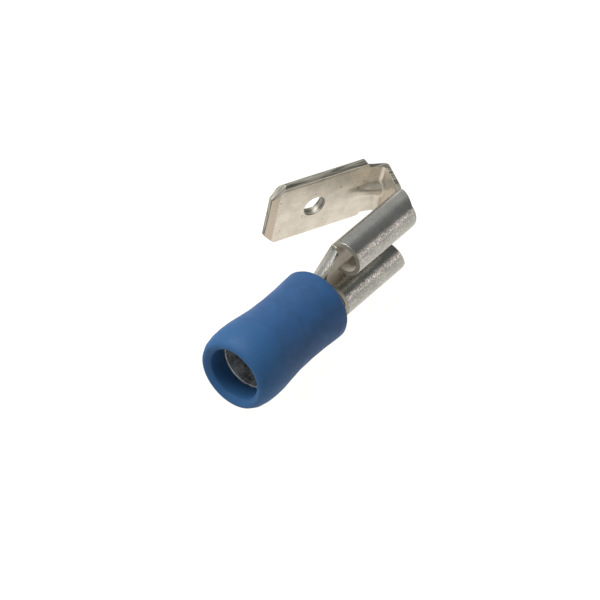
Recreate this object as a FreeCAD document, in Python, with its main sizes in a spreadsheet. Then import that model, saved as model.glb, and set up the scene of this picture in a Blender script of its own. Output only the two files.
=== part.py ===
"""Blue piggyback spade terminal of the 6.3 mm series, as a parametric document.

The X axis runs along the crimp barrel, from the wire entry at x = 0 to the receptacle's mouth.
The Y axis points from the receptacle toward the male tab, and Z lies across the tab's width.
The terminal lies on its side, so Z is up.
"""
import FreeCAD, Part
import math
import os

import Sketcher
from FreeCAD import Placement, Rotation, Vector

# Driving dimensions in millimetres and degrees: name, value, meaning
DIMENSIONS = (
    ("sheet_thick", 0.4, "thickness of the brass sheet"),
    ("wire_bore", 2.4, "inside diameter of the crimp barrel"),
    ("barrel_start", 5.2, "station of the barrel's wire end"),
    ("barrel_length", 5.4, "length of the rolled barrel"),
    ("seam_gap", 0.06, "gap left at the barrel's butted seam"),
    ("neck_start", 10.9, "station where the neck begins to widen"),
    ("neck_half_angle", 58.0, "half angle of the arc that leaves the barrel as the neck"),
    ("neck_crown_angle", 9.0, "half angle of the part of it that flattens into the floor"),
    ("neck_middle_angle", 74.0, "turn of the neck's sides halfway to the receptacle"),
    ("neck_front_angle", 62.0, "turn of the neck's sides at the receptacle"),
    ("notch_length", 0.55, "length of the relief notch between neck and rolled side"),
    ("notch_depth", 0.88, "how far that notch reaches in from the rolled side's crest"),
    ("floor_level", 1.8, "height of the receptacle floor's back above the barrel axis"),
    ("floor_half_width", 2.46, "half width of the flat floor between the rolled sides"),
    ("curl_radius", 1.5, "outside radius of each rolled side"),
    ("receptacle_start", 13.9, "station of the rolled sides' rear end"),
    ("receptacle_length", 7.43, "length of the rolled sides along their crests"),
    ("blade_thick", 0.8, "thickness of the blade that the receptacle takes"),
    ("blade_grip", 0.07, "spring grip of the rolled sides on that blade"),
    ("mouth_relief", 1.1, "how far the floor stands ahead of the rolled sides"),
    ("mouth_slant", 1.9, "height over which the rolled sides' front edge slants"),
    ("mouth_flare", 0.4, "how far the rolled sides' inner edges stand back from their crests"),
    ("fold_start", 22.99, "station where the floor turns up into the link"),
    ("fold_radius", 1.0, "inside radius of that turn"),
    ("fold_half_width", 2.7, "half width of the sheet at that turn"),
    ("link_angle", 58.4, "rise of the link from the floor"),
    ("link_length", 3.13, "length of the link between its two turns"),
    ("hairpin_radius", 0.5, "inside radius of the turn back over the receptacle"),
    ("hairpin_outer_radius", 0.32, "outside radius of that turn, which is struck sharp"),
    ("hairpin_half_width", 2.5, "half width of the sheet at that turn"),
    ("root_angle", 145.5, "direction of the short root beyond the hairpin"),
    ("root_length", 1.48, "length of that root"),
    ("root_radius", 0.6, "inside radius of the slight turn into the tab"),
    ("tab_angle", 159.1, "direction of the male tab"),
    ("tab_length", 9.07, "length of the male tab from the root's turn to its tip"),
    ("tab_width", 6.35, "width of the male tab"),
    ("wing_gap", 0.12, "gap along the line where the two folded wings meet behind the tab"),
    ("wing_setback", 0.1, "distance from the root's turn to the end of the wings"),
    ("wing_bevel", 0.42, "bevel at that end of the wings"),
    ("tip_chamfer", 1.13, "corner chamfer at the tab's tip"),
    ("tip_thick", 0.44, "thickness left at the tab's tip"),
    ("tip_bevel", 0.62, "length of the coined lead-in at the tab's tip"),
    ("hole_diameter", 1.95, "diameter of the latch hole in the tab"),
    ("hole_setback", 4.22, "distance from the tab's tip to the hole's centre"),
    ("rib_width", 1.1, "width of the stiffening rib pressed across the hairpin"),
    ("rib_drop", 0.75, "length of that rib along the link"),
    ("rib_run", 1.15, "how far it runs onto the tab"),
    ("rib_round", 0.4, "rounding of its crest"),
    ("dent_width", 0.7, "width of the dent that the rib leaves on the outer side"),
    ("dent_leg", 0.75, "length of that dent on each side of the hairpin"),
    ("support_wall", 0.25, "wall of the support sleeve"),
    ("support_start", 1.9, "station of the support sleeve's wire end"),
    ("support_bell", 2.4, "length of its wide part"),
    ("support_taper", 1.2, "length of its taper down to the barrel"),
    ("support_end", 10.4, "station of its front end"),
    ("fit_gap", 0.02, "radial clearance between nested tubes"),
    ("sleeve_length", 10.7, "length of the insulating sleeve"),
    ("mouth_bore", 4.6, "inside diameter of the sleeve's mouth"),
    ("bulge_station", 2.1, "station of the mouth's bulge"),
    ("bulge_diameter", 6.6, "outside diameter over the bulge"),
    ("bulge_arc", 8.0, "radius of the bulge's long profile"),
    ("waist_station", 6.9, "station of the sleeve's waist"),
    ("waist_depth", 0.345, "how far the waist lies inside the bulge, on the radius"),
    ("front_rise", 0.135, "how far the front end stands out from the waist, on the radius"),
    ("lip_round", 0.5, "outer rounding of the mouth's lip"),
    ("lip_inner_round", 0.25, "inner rounding of the mouth's lip"),
    ("front_round", 0.4, "outer rounding of the front end"),
)
NODES = ("terminal_body", "support_sleeve", "insulating_sleeve")
START, END, CENTRE = range(1, 4)
ORIGIN_POINT = (-1, 1)
HORIZONTAL_AXIS, VERTICAL_AXIS = range(-1, -3, -1)
POINT_TOLERANCE = 1e-4
SPARE = 1.0


class Formula:
    """A size formula for the document's objects, kept with its number."""

    def __init__(self, text, number):
        self.text = text
        self.number = number

    @classmethod
    def of(cls, value):
        """Return value as a formula."""
        return value if isinstance(value, cls) else cls(f"({float(value)})", float(value))

    def __add__(self, other):
        other = Formula.of(other)
        return Formula(f"({self.text} + {other.text})", self.number + other.number)

    def __sub__(self, other):
        other = Formula.of(other)
        return Formula(f"({self.text} - {other.text})", self.number - other.number)

    def __mul__(self, other):
        other = Formula.of(other)
        return Formula(f"({self.text} * {other.text})", self.number * other.number)

    def __truediv__(self, other):
        other = Formula.of(other)
        return Formula(f"({self.text} / {other.text})", self.number / other.number)

    def __neg__(self):
        return Formula(f"(-1 * {self.text})", -self.number)


def cosine(angle):
    """Return the cosine of a formula in degrees."""
    return Formula(f"cos({angle.text})", math.cos(math.radians(angle.number)))


def sine(angle):
    """Return the sine of a formula in degrees."""
    return Formula(f"sin({angle.text})", math.sin(math.radians(angle.number)))


class Sizes:
    """The spreadsheet of driving dimensions, read by name as formulas."""

    def __init__(self, doc):
        sheet = doc.addObject("Spreadsheet::Sheet", "Sizes")
        for row, (alias, value, meaning) in enumerate(DIMENSIONS, start=1):
            sheet.set(f"A{row}", alias)
            sheet.set(f"B{row}", str(value))
            sheet.set(f"C{row}", meaning)
            sheet.setAlias(f"B{row}", alias)
            setattr(self, alias, Formula(f"Sizes.{alias}", float(value)))
        doc.recompute()


def along(point, angle, length, offset=0):
    """Return the point reached by a length at an angle, and an offset to the left of it."""
    offset = Formula.of(offset)
    across = point[0] + length * cosine(angle) - offset * sine(angle)
    upward = point[1] + length * sine(angle) + offset * cosine(angle)
    return (across, upward)


def numbers(point):
    """Return a pair of formulas as a pair of numbers."""
    return tuple(Formula.of(shift).number for shift in point)


def origin_plane(body, role):
    """Return the body's own origin plane of that role."""
    return next(part for part in body.Origin.OriginFeatures if part.Role == role)


def new_sketch(body, name, role, base=(0, 0, 0), turn=None):
    """Attach a sketch to an origin plane, shifted and turned in that plane's frame.

    base holds the shifts along the plane's own x, y and normal. turn is an axis and an angle.
    """
    sketch = body.newObject("Sketcher::SketchObject", name)
    sketch.AttachmentSupport = [(origin_plane(body, role), "")]
    sketch.MapMode = "FlatFace"
    if turn:
        sketch.AttachmentOffset = Placement(Vector(), Rotation(turn[0], turn[1].number))
        sketch.setExpression("AttachmentOffset.Rotation.Angle", turn[1].text)
    for axis, shift in zip("xyz", base):
        if isinstance(shift, Formula):
            sketch.setExpression(f"AttachmentOffset.Base.{axis}", shift.text)
    return sketch


class Profile:
    """Draws closed profiles in a sketch and binds their constraints to the sheet."""

    def __init__(self, sketch):
        self.sketch = sketch

    def line(self, first, last, construction=False):
        """Add a line between two points given as pairs of numbers."""
        segment = Part.LineSegment(Vector(*first, 0), Vector(*last, 0))
        return self.sketch.addGeometry(segment, construction)

    def arc(self, centre, radius, first_angle, last_angle):
        """Add a counter-clockwise arc, with its angles in degrees."""
        circle = Part.Circle(Vector(*centre, 0), Vector(0, 0, 1), radius)
        arc = Part.ArcOfCircle(circle, math.radians(first_angle), math.radians(last_angle))
        return self.sketch.addGeometry(arc, False)

    def rule(self, kind, *places):
        """Add a constraint without a number."""
        self.sketch.addConstraint(Sketcher.Constraint(kind, *places))

    def measure(self, kind, *places):
        """Add a constraint whose last argument is the formula of its number."""
        *geometry, formula = places
        formula = Formula.of(formula)
        number = math.radians(formula.number) if kind == "Angle" else formula.number
        index = self.sketch.addConstraint(Sketcher.Constraint(kind, *geometry, number))
        self.sketch.setExpression(f"Constraints[{index}]", formula.text)

    def place(self, geometry, spot, point):
        """Hold a point at its two distances from the sketch's origin."""
        for kind, axis, shift in zip(("DistanceX", "DistanceY"), (VERTICAL_AXIS, HORIZONTAL_AXIS), point):
            if isinstance(shift, Formula):
                self.measure(kind, *ORIGIN_POINT, geometry, spot, shift)
            else:
                self.rule("PointOnObject", geometry, spot, axis)

    def polygon(self, corners):
        """Add a closed polygon through corners given as pairs of formulas."""
        values = [numbers(corner) for corner in corners]
        lines = [self.line(start, end) for start, end in zip(values, values[1:] + values[:1])]
        for line, following, corner in zip(lines, lines[1:] + lines[:1], corners):
            self.rule("Coincident", line, END, following, START)
            self.place(line, START, corner)


def pad(body, sketch, name, length, symmetric=False, reverse=False):
    """Pad a sketch by a length."""
    feature = body.newObject("PartDesign::Pad", name)
    feature.Profile = sketch
    feature.setExpression("Length", length.text)
    feature.Midplane = symmetric
    feature.Reversed = reverse
    return feature


def pocket(body, sketch, name, length=None, forward=False):
    """Cut a sketch right through or over a length, both ways or only along its normal."""
    feature = body.newObject("PartDesign::Pocket", name)
    feature.Profile = sketch
    feature.Midplane = not forward
    feature.Reversed = forward
    if length:
        feature.setExpression("Length", length.text)
    else:
        feature.Type = "ThroughAll"
    return feature


def dress(body, kind, name, base, edges, amount):
    """Fillet or chamfer the named edges of a feature by a formula."""
    feature = body.newObject(f"PartDesign::{kind}", name)
    feature.Base = (base, edges)
    feature.setExpression("Radius" if kind == "Fillet" else "Size", amount.text)
    return feature


def ring_edges(shape, station, radius):
    """Name the circular edges around X at a station, with that radius."""
    names = []
    for number, edge in enumerate(shape.Edges, start=1):
        curve = edge.Curve
        if isinstance(curve, Part.Circle) and abs(curve.Radius - radius) < POINT_TOLERANCE:
            if abs(curve.Center.x - station) < POINT_TOLERANCE:
                names.append(f"Edge{number}")
    return names


def crest_edges(shape, first, last):
    """Name the straight edges whose ends lie over two points of the XY plane."""
    names = []
    for number, edge in enumerate(shape.Edges, start=1):
        ends = [vertex.Point for vertex in edge.Vertexes]
        if len(ends) != 2:
            continue
        for start, end in (ends, ends[::-1]):
            near_first = math.hypot(start.x - first[0], start.y - first[1]) < POINT_TOLERANCE
            near_last = math.hypot(end.x - last[0], end.y - last[1]) < POINT_TOLERANCE
            if near_first and near_last:
                names.append(f"Edge{number}")
    return names


class Strip:
    """Corners of the sheet's middle line from the receptacle's floor to the tab."""

    def __init__(self, sizes):
        self.middle = sizes.floor_level - sizes.sheet_thick / 2
        self.front = sizes.receptacle_start + sizes.receptacle_length + sizes.mouth_relief
        self.start = (self.front - SPARE, self.middle)
        self.fold = (sizes.fold_start, self.middle)
        self.hairpin = along(self.fold, sizes.link_angle, sizes.link_length)
        self.root = along(self.hairpin, sizes.root_angle, sizes.root_length)
        self.end = along(self.root, sizes.tab_angle, sizes.wing_setback + sizes.sheet_thick)
        self.path = (self.start, self.fold, self.hairpin, self.root, self.end)
        self.inner_radii = (sizes.fold_radius, sizes.hairpin_radius, sizes.root_radius)
        self.outer_radii = (
            sizes.fold_radius + sizes.sheet_thick,
            sizes.hairpin_outer_radius,
            sizes.root_radius + sizes.sheet_thick,
        )


def draw_strip(sketch, sizes, strip):
    """Draw the folded sheet's edge-on profile around its middle line."""
    profile = Profile(sketch)
    corners = [numbers(corner) for corner in strip.path]
    middle_lines = [profile.line(start, end, True) for start, end in zip(corners, corners[1:])]
    for line, corner in zip(middle_lines, strip.path):
        profile.place(line, START, corner)
    profile.place(middle_lines[-1], END, strip.path[-1])
    for line, following in zip(middle_lines, middle_lines[1:]):
        profile.rule("Coincident", line, END, following, START)

    directions = [math.atan2(end[1] - start[1], end[0] - start[0]) for start, end in zip(corners, corners[1:])]
    half = sizes.sheet_thick / 2
    faces = []
    for side, radii in ((1, strip.inner_radii), (-1, strip.outer_radii)):
        faces.append(draw_strip_face(profile, corners, directions, radii, side * half.number))
    for face in faces:
        for line, middle in zip(face, middle_lines):
            profile.rule("Parallel", line, middle)
            profile.measure("Distance", line, START, middle, half)
    for spot, index in ((START, 0), (END, -1)):
        ends = [face[index] for face in faces]
        cap = profile.line(*(end_point(sketch, line, spot) for line in ends))
        profile.rule("Coincident", cap, START, ends[0], spot)
        profile.rule("Coincident", cap, END, ends[1], spot)
        profile.rule("Perpendicular", cap, middle_lines[index])
        profile.rule("PointOnObject", middle_lines[index], spot, cap)


def end_point(sketch, geometry, spot):
    """Return a drawn point as a pair of numbers."""
    point = sketch.getPoint(geometry, spot)
    return (point.x, point.y)


def draw_strip_face(profile, corners, directions, radii, shift):
    """Draw one face of the folded sheet, shifted to the left of the middle line.

    Returns the face's straight lines in order.
    """
    def shifted(point, angle):
        return (point[0] - shift * math.sin(angle), point[1] + shift * math.cos(angle))

    begin = shifted(corners[0], directions[0])
    lines, arcs = [], []
    for index, radius in enumerate(radii):
        before, after = directions[index], directions[index + 1]
        reach = (radius.number + shift) * math.tan((after - before) / 2)
        corner = corners[index + 1]
        foot = (corner[0] - reach * math.cos(before), corner[1] - reach * math.sin(before))
        centre_gap = radius.number + shift
        centre = (foot[0] - centre_gap * math.sin(before), foot[1] + centre_gap * math.cos(before))
        quarter = math.pi / 2
        lines.append(profile.line(begin, shifted(foot, before)))
        turn = (math.degrees(before - quarter), math.degrees(after - quarter))
        arcs.append(profile.arc(centre, radius.number, *turn))
        head = (corner[0] + reach * math.cos(after), corner[1] + reach * math.sin(after))
        begin = shifted(head, after)
    lines.append(profile.line(begin, shifted(corners[-1], directions[-1])))
    for line, arc, following, radius in zip(lines, arcs, lines[1:], radii):
        profile.rule("Tangent", line, END, arc, START)
        profile.rule("Tangent", arc, END, following, START)
        profile.measure("Radius", arc, radius)
    return lines


def make_strip(body, sizes, strip):
    """Make the single sheet that links the floor to the tab, narrow at the hairpin."""
    sketch = new_sketch(body, "StripSection", "XY_Plane")
    draw_strip(sketch, sizes, strip)
    pad(body, sketch, "StripPad", sizes.tab_width, symmetric=True)

    outline = new_sketch(body, "StripOutline", "XZ_Plane")
    profile = Profile(outline)
    beyond = strip.hairpin[0] + SPARE
    narrowing = (sizes.fold_half_width - sizes.hairpin_half_width) / (strip.hairpin[0] - strip.front)
    for sign in (1, -1):
        profile.polygon((
            (strip.start[0] - SPARE, sizes.floor_half_width * sign),
            (strip.front, sizes.floor_half_width * sign),
            (strip.front, sizes.fold_half_width * sign),
            (beyond, (sizes.hairpin_half_width - narrowing * SPARE) * sign),
            (beyond, (sizes.tab_width / 2 + SPARE) * sign),
            (strip.start[0] - SPARE, (sizes.tab_width / 2 + SPARE) * sign),
        ))
    pocket(body, outline, "StripSides")


def tab_sketch(body, name, strip, role, turn_axis, angle, lift):
    """Attach a sketch whose origin is the root's turn, turned to the tab's direction."""
    if role == "XY_Plane":
        base = (strip.root[0], strip.root[1], lift)
    else:
        base = (strip.root[1], lift, strip.root[0])
    return new_sketch(body, name, role, base, (turn_axis, angle))


def make_tab(body, sizes, strip):
    """Make the doubled tab: two wings folded behind it, coined tip and latch hole."""
    upright, out_of_plane = Vector(0, 1, 0), Vector(0, 0, 1)
    thick = sizes.sheet_thick
    face = thick / 2
    flat = sizes.tab_width / 2 - thick

    section = new_sketch(
        body, "TabSection", "YZ_Plane",
        (along(strip.root, sizes.tab_angle, sizes.wing_setback)[1], 0,
         along(strip.root, sizes.tab_angle, sizes.wing_setback)[0]),
        (upright, sizes.tab_angle),
    )
    profile = Profile(section)
    gap = sizes.wing_gap / 2
    back = face - thick * 2
    front_line = profile.line((face.number, -flat.number), (face.number, flat.number))
    top = profile.arc((-face.number, flat.number), thick.number, 0, 180)
    upper_back = profile.line((back.number, flat.number), (back.number, gap.number))
    upper_wall = profile.line((back.number, gap.number), (-face.number, gap.number))
    groove = profile.line((-face.number, gap.number), (-face.number, -gap.number))
    lower_wall = profile.line((-face.number, -gap.number), (back.number, -gap.number))
    lower_back = profile.line((back.number, -gap.number), (back.number, -flat.number))
    bottom = profile.arc((-face.number, -flat.number), thick.number, 180, 360)
    profile.place(top, CENTRE, (-face, flat))
    profile.place(bottom, CENTRE, (-face, -flat))
    profile.measure("Radius", top, thick)
    profile.measure("Radius", bottom, thick)
    profile.rule("Tangent", front_line, END, top, START)
    profile.rule("Tangent", bottom, END, front_line, START)
    profile.rule("Tangent", top, END, upper_back, START)
    profile.rule("Tangent", lower_back, END, bottom, START)
    for line, following in ((upper_back, upper_wall), (upper_wall, groove),
                            (groove, lower_wall), (lower_wall, lower_back)):
        profile.rule("Coincident", line, END, following, START)
    profile.rule("Horizontal", upper_wall)
    profile.rule("Horizontal", lower_wall)
    profile.place(groove, START, (-face, gap))
    profile.place(groove, END, (-face, -gap))
    pad(body, section, "TabPad", sizes.tab_length - sizes.wing_setback)

    outline = tab_sketch(body, "TabOutline", strip, "YZ_Plane", upright, sizes.tab_angle - 90, 0)
    profile = Profile(outline)
    edge, tip, rear = sizes.tab_width / 2, sizes.tab_length, sizes.wing_setback
    outside = edge + SPARE
    for sign in (1, -1):
        profile.polygon((
            (tip - sizes.tip_chamfer, edge * sign),
            (tip, (edge - sizes.tip_chamfer) * sign),
            (tip + SPARE, (edge - sizes.tip_chamfer) * sign),
            (tip + SPARE, outside * sign),
            (tip - sizes.tip_chamfer, outside * sign),
        ))
        profile.polygon((
            (rear + sizes.wing_bevel, edge * sign),
            (rear, (edge - sizes.wing_bevel) * sign),
            (rear - sizes.wing_bevel, (edge - sizes.wing_bevel) * sign),
            (rear - sizes.wing_bevel, outside * sign),
            (rear + sizes.wing_bevel, outside * sign),
        ))
    pocket(body, outline, "TabCorners")

    bevel = tab_sketch(body, "TabLeadIn", strip, "XY_Plane", out_of_plane, sizes.tab_angle, 0)
    profile = Profile(bevel)
    coined = sizes.tip_thick / 2
    for sign in (1, -1):
        profile.polygon((
            (tip - sizes.tip_bevel, thick * sign - face),
            (tip, coined * sign - face),
            (tip + SPARE, coined * sign - face),
            (tip + SPARE, (thick + SPARE) * sign - face),
            (tip - sizes.tip_bevel, (thick + SPARE) * sign - face),
        ))
    pocket(body, bevel, "TabBevels")

    hole = tab_sketch(body, "TabHole", strip, "YZ_Plane", upright, sizes.tab_angle - 90, 0)
    profile = Profile(hole)
    centre = tip - sizes.hole_setback
    circle = Part.Circle(Vector(centre.number, 0, 0), Vector(0, 0, 1), sizes.hole_diameter.number / 2)
    ring = hole.addGeometry(circle, False)
    profile.place(ring, CENTRE, (centre, 0))
    profile.measure("Diameter", ring, sizes.hole_diameter)
    pocket(body, hole, "LatchHole")


def make_rib(doc, body, sizes, strip):
    """Make the stiffening rib inside the hairpin and the dent that it leaves outside."""
    half = sizes.sheet_thick / 2
    top = along(strip.root, sizes.tab_angle, sizes.rib_run, half)
    low = along(strip.hairpin, sizes.link_angle, -sizes.rib_drop, half)
    sketch = new_sketch(body, "RibSection", "XY_Plane")
    Profile(sketch).polygon((top, strip.root, strip.hairpin, low))
    rib = pad(body, sketch, "RibPad", sizes.rib_width, symmetric=True)
    doc.recompute()
    edges = crest_edges(rib.Shape, numbers(top), numbers(low))
    dress(body, "Fillet", "RibRound", rib, edges, sizes.rib_round)

    sketch = new_sketch(body, "DentSection", "XY_Plane")
    corner = along(strip.hairpin, sizes.link_angle, sizes.sheet_thick, -half)
    Profile(sketch).polygon((
        along(strip.hairpin, sizes.link_angle, half - sizes.dent_leg, -half),
        along(corner, sizes.link_angle, sizes.sheet_thick, -half),
        along(strip.hairpin, sizes.root_angle, sizes.dent_leg - half, -half),
    ))
    pocket(body, sketch, "Dent", sizes.dent_width)


def make_receptacle(body, sizes, strip):
    """Make the floor with its two rolled sides, cut back at the mouth."""
    radius, thick = sizes.curl_radius, sizes.sheet_thick
    level = sizes.floor_level - radius
    inner = radius - thick
    slot = sizes.blade_thick - sizes.blade_grip
    edge_level = sizes.floor_level - thick - slot
    sweep = 360 - math.degrees(math.acos((edge_level - level).number / radius.number))

    sketch = new_sketch(body, "ReceptacleSection", "YZ_Plane", (0, 0, sizes.receptacle_start))
    profile = Profile(sketch)
    arcs = {}
    for sign in (1, -1):
        centre = (level, sizes.floor_half_width * sign)
        turn = (0, sweep) if sign > 0 else (360 - sweep, 360)
        for name, size in (("outer", radius), ("inner", inner)):
            arc = profile.arc(numbers(centre), size.number, *turn)
            profile.place(arc, CENTRE, centre)
            profile.measure("Radius", arc, size)
            arcs[sign, name] = arc
    for name in ("outer", "inner"):
        first = end_point(sketch, arcs[-1, name], END)
        last = end_point(sketch, arcs[1, name], START)
        floor = profile.line(first, last)
        profile.rule("Tangent", arcs[-1, name], END, floor, START)
        profile.rule("Tangent", floor, END, arcs[1, name], START)
    for sign, spot in ((1, END), (-1, START)):
        outer, inner_arc = arcs[sign, "outer"], arcs[sign, "inner"]
        edge = profile.line(end_point(sketch, outer, spot), end_point(sketch, inner_arc, spot))
        profile.rule("Coincident", edge, START, outer, spot)
        profile.rule("Coincident", edge, END, inner_arc, spot)
        profile.rule("PointOnObject", outer, CENTRE, edge)
        profile.measure("DistanceX", *ORIGIN_POINT, edge, START, edge_level)
    pad(body, sketch, "ReceptaclePad", sizes.receptacle_length + sizes.mouth_relief)

    slant = new_sketch(body, "MouthSlant", "XY_Plane")
    crest_end = sizes.receptacle_start + sizes.receptacle_length
    floor_face = sizes.floor_level - thick
    low = level - radius - SPARE
    Profile(slant).polygon((
        (strip.front, floor_face),
        (crest_end, floor_face - sizes.mouth_slant),
        (crest_end, low),
        (strip.front + SPARE, low),
        (strip.front + SPARE, floor_face),
    ))
    pocket(body, slant, "MouthRelief")

    flare = new_sketch(body, "MouthFlare", "XZ_Plane", (0, 0, -floor_face))
    profile = Profile(flare)
    free_edge = sizes.floor_half_width - radius
    for sign in (1, -1):
        profile.polygon((
            (crest_end, sizes.floor_half_width * sign),
            (crest_end - sizes.mouth_flare, free_edge * sign),
            (crest_end - sizes.mouth_flare, 0),
            (strip.front + SPARE, 0),
            (strip.front + SPARE, sizes.floor_half_width * sign),
        ))
    pocket(body, flare, "MouthCorners", forward=True)


def draw_neck_rear(sketch, sizes):
    """Draw the arc of the barrel's wall that runs on as the neck: a crown and two sides."""
    profile = Profile(sketch)
    outer = sizes.wire_bore / 2 + sizes.sheet_thick
    crown_angle, edge_angle = sizes.neck_crown_angle, sizes.neck_half_angle
    ends = {}
    for name, radius in (("outer", outer), ("inner", sizes.wire_bore / 2)):
        crown = profile.arc((0, 0), radius.number, -crown_angle.number, crown_angle.number)
        profile.rule("Coincident", crown, CENTRE, *ORIGIN_POINT)
        profile.measure("Radius", crown, radius)
        for sign, spot, far in ((1, END, END), (-1, START, START)):
            near_angle, far_angle = sorted((crown_angle.number * sign, edge_angle.number * sign))
            side = profile.arc((0, 0), radius.number, near_angle, far_angle)
            profile.rule("Coincident", side, CENTRE, *ORIGIN_POINT)
            profile.rule("Coincident", side, START if sign > 0 else END, crown, spot)
            profile.measure("DistanceY", *ORIGIN_POINT, crown, spot, radius * sine(crown_angle) * sign)
            profile.measure("DistanceY", *ORIGIN_POINT, side, far, radius * sine(edge_angle) * sign)
            ends[sign, name] = (side, far)
    close_edges(profile, ends)


def draw_trough(sketch, sizes, level, radius, flat, angle):
    """Draw a section of the neck's trough: a flat crown whose two sides turn down by an angle.

    The level is that of the corners' centres, the radius their outside one.
    """
    profile = Profile(sketch)
    ends, arcs = {}, {}
    for name, size in (("outer", radius), ("inner", radius - sizes.sheet_thick)):
        for sign, far in ((1, END), (-1, START)):
            centre = (level, flat * sign)
            arc = profile.arc(numbers(centre), size.number, *sorted((0, angle.number * sign)))
            profile.place(arc, CENTRE, centre)
            profile.measure("Radius", arc, size)
            profile.measure("DistanceY", *ORIGIN_POINT, arc, far, (flat + size * sine(angle)) * sign)
            arcs[sign] = arc
            ends[sign, name] = (arc, far)
        crown = profile.line(end_point(sketch, arcs[-1], END), end_point(sketch, arcs[1], START))
        profile.rule("Tangent", arcs[-1], END, crown, START)
        profile.rule("Tangent", crown, END, arcs[1], START)
    close_edges(profile, ends)


def close_edges(profile, ends):
    """Join the outer and inner face of a sheet section at both of its cut edges."""
    for sign in (1, -1):
        (outer, spot), (inner, inner_spot) = ends[sign, "outer"], ends[sign, "inner"]
        sketch = profile.sketch
        edge = profile.line(end_point(sketch, outer, spot), end_point(sketch, inner, inner_spot))
        profile.rule("Coincident", edge, START, outer, spot)
        profile.rule("Coincident", edge, END, inner, inner_spot)


def make_neck(body, sizes):
    """Make the neck, which widens from the barrel's wall to the receptacle's floor and rolled sides."""
    rear = new_sketch(body, "NeckRear", "YZ_Plane", (0, 0, sizes.neck_start))
    draw_neck_rear(rear, sizes)
    barrel_radius = sizes.wire_bore / 2 + sizes.sheet_thick
    level = sizes.floor_level - sizes.curl_radius
    middle = new_sketch(body, "NeckMiddle", "YZ_Plane", (0, 0, (sizes.neck_start + sizes.receptacle_start) / 2))
    draw_trough(middle, sizes, level / 2, (barrel_radius + sizes.curl_radius) / 2,
                sizes.floor_half_width / 2, sizes.neck_middle_angle)
    front = new_sketch(body, "NeckFront", "YZ_Plane", (0, 0, sizes.receptacle_start))
    draw_trough(front, sizes, level, sizes.curl_radius, sizes.floor_half_width, sizes.neck_front_angle)
    loft = body.newObject("PartDesign::AdditiveLoft", "NeckLoft")
    loft.Profile = front
    loft.Sections = [middle, rear]
    loft.Ruled = False
    barrel_end = sizes.barrel_start + sizes.barrel_length
    pad(body, rear, "NeckStem", sizes.neck_start - barrel_end, reverse=True)


def make_notches(body, sizes):
    """Cut the relief notches that part the neck's sides from the rolled sides."""
    sketch = new_sketch(body, "NeckNotches", "XZ_Plane")
    profile = Profile(sketch)
    crest = sizes.floor_half_width + sizes.curl_radius
    for sign in (1, -1):
        profile.polygon((
            (sizes.receptacle_start - sizes.notch_length, (crest - sizes.notch_depth) * sign),
            (sizes.receptacle_start, (crest - sizes.notch_depth) * sign),
            (sizes.receptacle_start, (crest + SPARE) * sign),
            (sizes.receptacle_start - sizes.notch_length, (crest + SPARE) * sign),
        ))
    pocket(body, sketch, "NeckNotch")


def make_barrel(body, sizes):
    """Make the crimp barrel, rolled from the sheet and butted along the side away from the tab."""
    sketch = new_sketch(body, "BarrelSection", "YZ_Plane", (0, 0, sizes.barrel_start))
    profile = Profile(sketch)
    gap = sizes.seam_gap / 2
    ends = {}
    bore = sizes.wire_bore / 2
    for name, radius in (("outer", bore + sizes.sheet_thick), ("inner", bore)):
        opening = math.degrees(math.asin(gap.number / radius.number))
        arc = profile.arc((0, 0), radius.number, opening - 180, 180 - opening)
        profile.rule("Coincident", arc, CENTRE, *ORIGIN_POINT)
        profile.measure("Radius", arc, radius)
        for sign, spot in ((1, END), (-1, START)):
            profile.measure("DistanceY", *ORIGIN_POINT, arc, spot, gap * sign)
            ends[sign, name] = (arc, spot)
    close_edges(profile, ends)
    pad(body, sketch, "BarrelPad", sizes.barrel_length)


def make_terminal(doc, sizes):
    """Make the terminal, which is one stamped, rolled and folded sheet."""
    body = doc.addObject("PartDesign::Body", "terminal_body")
    strip = Strip(sizes)
    make_strip(body, sizes, strip)
    make_tab(body, sizes, strip)
    make_rib(doc, body, sizes, strip)
    make_receptacle(body, sizes, strip)
    make_neck(body, sizes)
    make_notches(body, sizes)
    make_barrel(body, sizes)
    return body


def revolve(body, sketch, name):
    """Turn a sketch once around its own horizontal axis."""
    feature = body.newObject("PartDesign::Revolution", name)
    feature.Profile = sketch
    feature.ReferenceAxis = (sketch, ["H_Axis"])
    feature.Angle = 360
    return feature


def make_support(doc, sizes):
    """Make the thin metal sleeve: a wide bell, a taper and a length tight on the barrel."""
    body = doc.addObject("PartDesign::Body", "support_sleeve")
    outer = sizes.mouth_bore / 2 - sizes.fit_gap
    seat = sizes.wire_bore / 2 + sizes.sheet_thick + sizes.fit_gap
    bell_end = sizes.support_start + sizes.support_bell
    taper_end = bell_end + sizes.support_taper
    wall = sizes.support_wall
    sketch = new_sketch(body, "SupportSection", "XY_Plane")
    Profile(sketch).polygon((
        (sizes.support_start, outer - wall),
        (bell_end, outer - wall),
        (taper_end, seat),
        (sizes.support_end, seat),
        (sizes.support_end, seat + wall),
        (taper_end, seat + wall),
        (bell_end, outer),
        (sizes.support_start, outer),
    ))
    revolve(body, sketch, "SupportTube")
    return body


def arc_level(top, radius, distance):
    """Return the level of an arc at a distance from its crest, in numbers."""
    return top - radius + math.sqrt(radius ** 2 - distance ** 2)


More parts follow.
